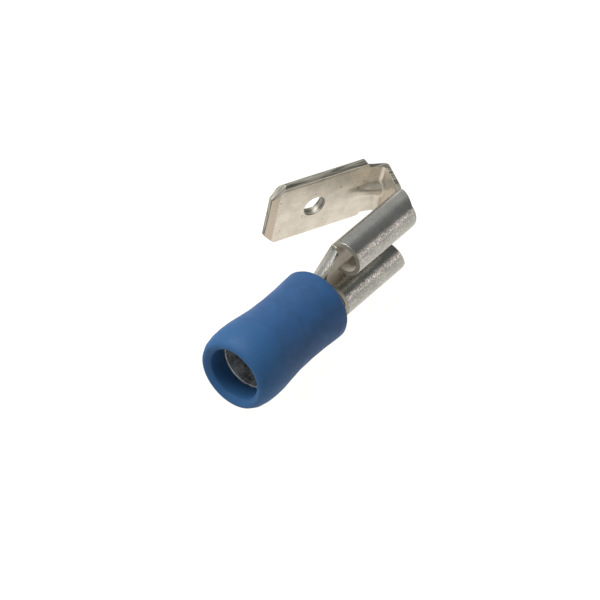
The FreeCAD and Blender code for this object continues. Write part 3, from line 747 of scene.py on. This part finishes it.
@dataclass
class InsulatingSleeve:
    """The blue sleeve: a bulged mouth, a waist and a plain front."""

    finish: SoftVinyl
    section: Section = (
        (0.0, 2.68), (0.16, 2.92), (0.6, 3.14), (1.3, 3.265), (2.1, 3.3), (3.0, 3.26), (4.0, 3.14),
        (5.2, 3.01), (6.9, 2.955), (8.4, 2.975), (9.8, 3.05), (10.42, 3.07), (10.64, 2.95), (10.7, 2.7),
        (10.7, 1.87), (8.5, 1.87), (5.5, 1.87), (4.3, 2.3), (1.7, 2.3), (1.2, 2.26), (0.6, 2.22),
        (0.42, 2.22), (0.35, 2.24), (0.3, 2.28), (0.05, 2.56),
    )
    steps: int = 72

    def build(self) -> bpy.types.Object:
        """Spin the sleeve and dress it.

        Returns:
            The sleeve's object.
        """
        piece = put_in_place(
            lathe(self.section, self.steps), "moulded_sleeve", self.finish.material(), Slot.BLUE_VINYL,
            Node.INSULATION,
        )
        piece.data.shade_smooth()
        return piece


@dataclass
class SupportSleeve:
    """The thin metal tube inside the blue sleeve."""

    finish: TinPlate
    section: Section = (
        (1.9, 2.03), (4.3, 2.03), (5.5, 1.62), (10.4, 1.62), (10.4, 1.87), (5.5, 1.87), (4.3, 2.28),
        (1.9, 2.28),
    )
    rim_round: float = 0.08
    rim_steps: int = 3
    steps: int = 72

    def build(self) -> bpy.types.Object:
        """Spin the tube, round its rims and dress it.

        Returns:
            The tube's object.
        """
        mesh = lathe(self.section, self.steps)
        bmesh.ops.bevel(
            mesh, geom=[edge for edge in mesh.edges if self._on_rim(edge)], offset=self.rim_round * MM,
            affect="EDGES", segments=self.rim_steps, profile=0.5, material=-1,
        )
        piece = put_in_place(mesh, "support_tube", self.finish.material(), Slot.TINNED_COPPER, Node.SUPPORT)
        piece.data.shade_smooth()
        return piece

    def _on_rim(self, edge: bmesh.types.BMEdge) -> bool:
        """Tell whether an edge runs round one of the tube's ends.

        Args:
            edge: An edge of the spun tube.

        Returns:
            Whether both its vertices are at one end and at one radius.
        """
        stations = [station * MM for station, _ in self.section]
        at_end = any(
            all(abs(vert.co.x - end) < LEVEL_SLACK for vert in edge.verts)
            for end in (min(stations), max(stations))
        )
        first, second = (vert.co.yz.length for vert in edge.verts)
        return at_end and abs(first - second) < LEVEL_SLACK


@dataclass(frozen=True)
class PressedRib:
    """The stiffening rib in the corner between the tab's root and the link, with soft pressed shoulders.

    The corner is drawn in the side view by its sheet's middle line: a point and the angles of the
    tab, the root and the link. The rib replaces the merged mesh's own.
    """

    root: tuple[float, float] = (23.41, 5.104)
    hairpin: tuple[float, float] = (24.63, 4.266)
    tab_angle: float = 159.1
    root_angle: float = 145.5
    link_angle: float = 58.4
    half_thick: float = 0.2
    run: float = 1.3
    drop: float = 0.75
    crest_half: float = 0.22
    foot_half: float = 0.85
    softness: float = 0.16
    end_fade: float = 0.6
    patch_half: float = 1.2
    patch_run: float = 2.3
    patch_drop: float = 1.7
    patch_grain: float = 0.12
    patch_cuts: int = 23
    seam_grain: float = 0.004
    # A face is inside the corner from this far off the middle line, and above this level.
    inner_least: float = 0.185
    least_level: float = 2.6

    @staticmethod
    def _way(angle: float) -> Vector:
        """Turn an angle in the side view, in degrees, into a direction."""
        return Vector((math.cos(math.radians(angle)), math.sin(math.radians(angle)), 0))

    def _along(
        self, point: tuple[float, float], angle: float, length: float, offset: float = 0.0
    ) -> Vector:
        """Walk from a point in the side view.

        Args:
            point: Where the walk starts, in millimetres.
            angle: Its direction, in degrees.
            length: How far it goes.
            offset: How far it then steps to the left.

        Returns:
            The point reached, in metres, in the middle of the width.
        """
        return (Vector((*point, 0)) + self._way(angle) * length + self._way(angle + 90) * offset) * MM

    def _ends(self) -> list[tuple[Vector, Vector]]:
        """Place the two planes that end the patch, up the tab and down the link.

        Returns:
            A point on each plane, in metres, and the plane's direction away from the patch.
        """
        return [
            (self._along(self.root, self.tab_angle, self.patch_run), self._way(self.tab_angle)),
            (self._along(self.hairpin, self.link_angle, -self.patch_drop), -self._way(self.link_angle)),
        ]

    def _inside(self, place: Vector) -> bool:
        """Tell whether a place is on the inner face of the tab, the root or the link.

        Args:
            place: The place, in metres.

        Returns:
            Whether it is on the inner side of all three middle lines.
        """
        lines = (
            (self.root, self.tab_angle), (self.hairpin, self.root_angle), (self.hairpin, self.link_angle),
        )
        return place.y > self.least_level * MM and all(
            (place - self._along(start, angle, 0)).dot(self._way(angle + 90)) > self.inner_least * MM
            for start, angle in lines
        )

    def press(self, mesh: bmesh.types.BMesh) -> None:
        """Lay a fine patch over the inside of the corner and press the rib into it.

        Args:
            mesh: The terminal's merged mesh, whose own rib is taken out.
        """
        self._cut_out(mesh)
        self._lay_patch(mesh)
        self._sew(mesh)
        for vert in mesh.verts:
            if abs(vert.co.z) < self.patch_half * MM - LEVEL_SLACK and self._inside(vert.co):
                vert.co += self._lift(vert.co)
        bmesh.ops.recalc_face_normals(mesh, faces=mesh.faces)

    def _cut_out(self, mesh: bmesh.types.BMesh) -> None:
        """Take out the inside of the corner, as far as the patch will reach.

        Args:
            mesh: The terminal's merged mesh.
        """
        sides = [(Vector((0, 0, side * self.patch_half * MM)), Vector((0, 0, side))) for side in (1, -1)]
        cuts = self._ends() + sides
        for point, away in cuts:
            faces = [face for face in mesh.faces if self._inside(face.calc_center_median())]
            parts = {part for face in faces for part in (*face.edges, *face.verts)}
            bmesh.ops.bisect_plane(
                mesh, geom=faces + list(parts), dist=CUT_SLACK, plane_co=point, plane_no=away
            )
        old = [
            face for face in mesh.faces
            if self._inside(face.calc_center_median())
            and all((face.calc_center_median() - point).dot(away) < 0 for point, away in cuts)
        ]
        bmesh.ops.delete(mesh, geom=old, context="FACES")

    def _lay_patch(self, mesh: bmesh.types.BMesh) -> None:
        """Stretch a fine patch across the opening, from its upper side to its lower one.

        Args:
            mesh: The mesh with the opening. The rest of the opening's rim gets a mark, for sewing.
        """
        level = self.patch_half * MM
        rim = [edge for edge in mesh.edges if edge.is_boundary]
        upper = [edge for edge in rim if self._at_level(edge, level)]
        self._divide(mesh, [edge for edge in rim if edge not in upper], self.seam_grain)
        self._divide(mesh, upper, self.patch_grain)
        upper = [edge for edge in mesh.edges if edge.is_boundary and self._at_level(edge, level)]
        mark = mesh.verts.layers.int.new(OLD_RIM)
        for vert in mesh.verts:
            vert[mark] = int(vert.is_boundary)
        for vert in (vert for edge in upper for vert in edge.verts):
            vert[mark] = 0
        made = bmesh.ops.extrude_edge_only(mesh, edges=upper)["geom"]
        lower = [part for part in made if isinstance(part, bmesh.types.BMVert)]
        bmesh.ops.translate(mesh, verts=lower, vec=(0, 0, -2 * level))
        rungs = [
            edge for vert in lower for edge in vert.link_edges
            if abs(edge.verts[0].co.z - edge.verts[1].co.z) > level
        ]
        bmesh.ops.subdivide_edges(mesh, edges=rungs, cuts=self.patch_cuts)

    @staticmethod
    def _sew(mesh: bmesh.types.BMesh) -> None:
        """Sew the opening's rim to the patch's border, each point to the nearest one.

        Args:
            mesh: The mesh with the opening and the patch.
        """
        mark = mesh.verts.layers.int[OLD_RIM]
        rim = [vert for vert in mesh.verts if vert.is_boundary]
        border = [vert for vert in rim if not vert[mark]]
        bmesh.ops.weld_verts(mesh, targetmap={
            vert: min(border, key=lambda other: (other.co - vert.co).length_squared)
            for vert in rim if vert[mark]
        })

    @staticmethod
    def _divide(mesh: bmesh.types.BMesh, edges: list[bmesh.types.BMEdge], grain: float) -> None:
        """Divide edges into equal parts.

        Args:
            mesh: The mesh that the edges are in.
            edges: The edges.
            grain: The longest part allowed, in millimetres.
        """
        for edge in edges:
            parts = math.ceil(edge.calc_length() / (grain * MM))
            if parts > 1:
                bmesh.ops.bisect_edges(mesh, edges=[edge], cuts=parts - 1)

    @staticmethod
    def _at_level(edge: bmesh.types.BMEdge, level: float) -> bool:
        """Tell whether an edge runs at one level across the width."""
        return all(abs(vert.co.z - level) < LEVEL_SLACK for vert in edge.verts)

    def _lift(self, place: Vector) -> Vector:
        """Work out how far the press has moved a place of the plain corner.

        Args:
            place: The place before pressing.

        Returns:
            The move, towards the inside of the corner.
        """
        first = self._along(self.root, self.tab_angle, self.run, self.half_thick)
        last = self._along(self.hairpin, self.link_angle, -self.drop, self.half_thick)
        crest = (last - first).normalized()
        inward = Vector((crest.y, -crest.x, 0))
        depth = (first - place).dot(inward)
        height = (depth + math.hypot(depth, self.softness * MM)) / 2
        reach = (abs(place.z) / MM - self.crest_half) / (self.foot_half - self.crest_half)
        reach = min(max(reach, 0.0), 1.0)
        shoulder = 1 - reach * reach * (3 - 2 * reach)
        inset = min((point - place).dot(away) for point, away in self._ends())
        fade = min(max(inset / (self.end_fade * MM), 0.0), 1.0)
        return inward * height * shoulder * fade


@dataclass
class TerminalBody:
    """The stamped terminal: barrel, neck, receptacle, fold and piggyback tab in one strip."""

    finish: TinPlate
    edge_round: float = 0.035
    edge_steps: int = 2
    sharp_angle: float = 32.0
    flat_angle: float = 0.3
    merge_reach: float = 0.001
    start_depth: float = 0.01
    solid_depth: float = 0.9

    def build(self) -> bpy.types.Object:
        """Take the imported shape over, merged, and round its sheared edges.

        Returns:
            The terminal's object.
        """
        mesh = bmesh.new()
        mesh.from_mesh(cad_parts[Node.TERMINAL.value].data)
        bmesh.ops.remove_doubles(mesh, verts=mesh.verts, dist=self.merge_reach * MM)
        self._mark_sheared(mesh)
        bmesh.ops.dissolve_limit(
            mesh, angle_limit=math.radians(self.flat_angle), verts=mesh.verts, edges=mesh.edges
        )
        PressedRib().press(mesh)
        for face in mesh.faces:
            face.smooth = True
        for edge in mesh.edges:
            edge.smooth = edge.calc_face_angle(0) < math.radians(self.sharp_angle)
        piece = put_in_place(
            mesh, "formed_terminal", self.finish.material(), Slot.TINNED_BRASS, Node.TERMINAL
        )
        rounding = piece.modifiers.new("sheared_edge", "BEVEL")
        rounding.width = self.edge_round * MM
        rounding.segments = self.edge_steps
        rounding.limit_method = "ANGLE"
        rounding.angle_limit = math.radians(self.sharp_angle)
        rounding.use_clamp_overlap = False
        rounding.harden_normals = True
        return piece

    def _mark_sheared(self, mesh: bmesh.types.BMesh) -> None:
        """Mark the sheared faces, which have more metal behind them than the sheet is thick.

        Args:
            mesh: The merged mesh, which gets the mark as a number on each face.
        """
        mark = mesh.faces.layers.float.new(SHEARED)
        tree = BVHTree.FromBMesh(mesh)
        for face in mesh.faces:
            start = face.calc_center_median() - face.normal * self.start_depth * MM
            depth = tree.ray_cast(start, -face.normal)[3]
            face[mark] = 1.0 if depth is not None and depth > self.solid_depth * MM else 0.0


def direction(azimuth: float, elevation: float) -> Vector:
    """Turn an azimuth and an elevation, in degrees, into a direction."""
    turn, tilt = math.radians(azimuth), math.radians(elevation)
    return Vector((math.cos(tilt) * math.cos(turn), math.cos(tilt) * math.sin(turn), math.sin(tilt)))


@dataclass(frozen=True)
class SoftBox:
    """One soft studio light, aimed at the part. Lengths are in metres, and the power in watts."""

    name: str
    azimuth: float
    elevation: float
    distance: float
    width: float
    height: float
    power: float
    tone: str = "FFFFFF"

    def build(self, target: Vector) -> None:
        """Hang the light.

        Args:
            target: What it shines at, in metres.
        """
        lamp = bpy.data.lights.new(self.name, "AREA")
        lamp.shape = "RECTANGLE"
        lamp.size, lamp.size_y = self.width, self.height
        lamp.energy = self.power
        lamp.color = linear(self.tone)[:3]
        away = direction(self.azimuth, self.elevation)
        turn = away.to_track_quat("Z", "Y").to_matrix().to_4x4()
        holder = bpy.data.objects.new(self.name, lamp)
        holder.matrix_world = Matrix.Translation(target + away * self.distance) @ turn
        bpy.context.scene.collection.objects.link(holder)


@dataclass(frozen=True)
class Studio:
    """The pale table, the soft lights and the camera."""

    position: tuple[float, float, float] = (-125.51, -72.56, 165.37)
    right: tuple[float, float, float] = (0.612, -0.775, 0.156)
    back: tuple[float, float, float] = (-0.599, -0.326, 0.731)
    lens: float = 175.2
    sensor: float = 36.0
    floor_finish: OpalAcrylic = OpalAcrylic("opal acrylic light table, lit from below")
    floor_size: float = 2.0
    wall_tone: str = "B4B6B7"
    # A dark flag hangs over the front: its azimuth and elevation, and its core's and edge's radius.
    flag_tone: str = "676A6C"
    flag_way: tuple[float, float] = (-32.0, 55.0)
    flag_core: float = 28.0
    flag_reach: float = 50.0
    boxes: tuple[SoftBox, ...] = (
        SoftBox("key_box", 104, 56, 0.7, 0.45, 0.45, 6.6),
        SoftBox("strip_box", -50, 20, 0.6, 0.08, 0.3, 0.18, "FFF2F0"),
    )

    def build(self) -> None:
        """Set the floor, the lights and the camera."""
        low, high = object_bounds()
        self._floor(low.z)
        for box in self.boxes:
            box.build((low + high) / 2)
        self._world()
        self._camera()

    def _floor(self, level: float) -> None:
        """Lay the pale table top.

        Args:
            level: Its height, in metres.
        """
        mesh = bmesh.new()
        bmesh.ops.create_grid(mesh, x_segments=1, y_segments=1, size=self.floor_size / 2)
        bmesh.ops.translate(mesh, verts=mesh.verts, vec=(0, 0, level))
        data = bpy.data.meshes.new("table_top")
        mesh.to_mesh(data)
        mesh.free()
        data.materials.append(self.floor_finish.material())
        floor = bpy.data.objects.new("table_top", data)
        bpy.context.scene.collection.objects.link(floor)
        floor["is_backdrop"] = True

    def _world(self) -> None:
        """Fill the room with even light, less a dark flag over the front of the part."""
        world = bpy.data.worlds.new("room")
        world.use_nodes = True
        tree = world.node_tree
        tree.nodes.clear()
        ray = add_node(tree, "TexCoord").outputs["Generated"]
        nearness = add_node(tree, "VectorMath", {"operation": "DOT_PRODUCT"}, {
            0: ray, 1: direction(*self.flag_way),
        })
        shade = add_node(tree, "MapRange", {"interpolation_type": "SMOOTHSTEP"}, {
            "Value": nearness.outputs["Value"], "From Min": math.cos(math.radians(self.flag_reach)),
            "From Max": math.cos(math.radians(self.flag_core)),
        }).outputs[0]
        tone = add_node(tree, "Mix", COLOURS, {
            "Factor": shade, 6: linear(self.wall_tone), 7: linear(self.flag_tone),
        }).outputs[2]
        glow = add_node(tree, "Background", values={"Color": tone, "Strength": 1.0})
        add_node(tree, "OutputWorld", values={"Surface": glow.outputs[0]})
        bpy.context.scene.world = world
        bpy.context.scene.view_settings.view_transform = "Standard"

    def _camera(self) -> None:
        """Stand the camera where the picture was taken."""
        back = Vector(self.back).normalized()
        right = Vector(self.right)
        right = (right - back * right.dot(back)).normalized()
        up = back.cross(right)
        lens = bpy.data.cameras.new("picture_camera")
        lens.lens = self.lens
        lens.sensor_width = self.sensor
        camera = bpy.data.objects.new("picture_camera", lens)
        turn = Matrix((right, up, back)).transposed().to_4x4()
        camera.matrix_world = Matrix.Translation(Vector(self.position) * MM) @ turn
        bpy.context.scene.collection.objects.link(camera)
        bpy.context.scene.camera = camera


BRASS_FINISH = TinPlate("matte tin electroplate on stamped brass strip", nicks=(
    Nick(6.48, 1.31, 0.13),
    Nick(8.24, 0.61, 0.12),
    Nick(8.1, 1.25, 0.1),
    Nick(4.09, 1.44, 0.1),
    Nick(3.18, -0.74, 0.1),
    Nick(0.8, 1.61, 0.12),
    Nick(8.71, 1.12, 0.12),
    Nick(1.15, -1.6, 0.1),
    Nick(2.3, 1.9, 0.08),
    Nick(5.3, -1.9, 0.08),
))
# Drawn tube gives the eye a cooler, darker tin than strip, with deeper lines. Its smaller, darker blotches
# are painted reflection: they stand in for the dark and bright bands that the tube's inside mirrors.
COPPER_FINISH = TinPlate(
    "tin electroplate on drawn copper tube", tone="D8DAD9", stain_and_shade_tone="666A6D", pit_tone="8C9092",
    formed_metal=0.72, blotch_size=0.7, line_depth=0.012,
)
VINYL_FINISH = SoftVinyl("moulded plasticised PVC")


def main() -> None:
    """Build and dress every piece, log each one's face count, and set the studio up."""
    logging.basicConfig(level=logging.INFO, format="%(name)s: %(message)s")
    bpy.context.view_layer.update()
    pieces: tuple[TerminalBody | SupportSleeve | InsulatingSleeve, ...] = (
        TerminalBody(BRASS_FINISH), SupportSleeve(COPPER_FINISH), InsulatingSleeve(VINYL_FINISH),
    )
    for piece in pieces:
        made = piece.build()
        LOG.info("%s: %d faces", made.name, len(made.data.polygons))
    Studio().build()


if __name__ == "__main__":
    main()
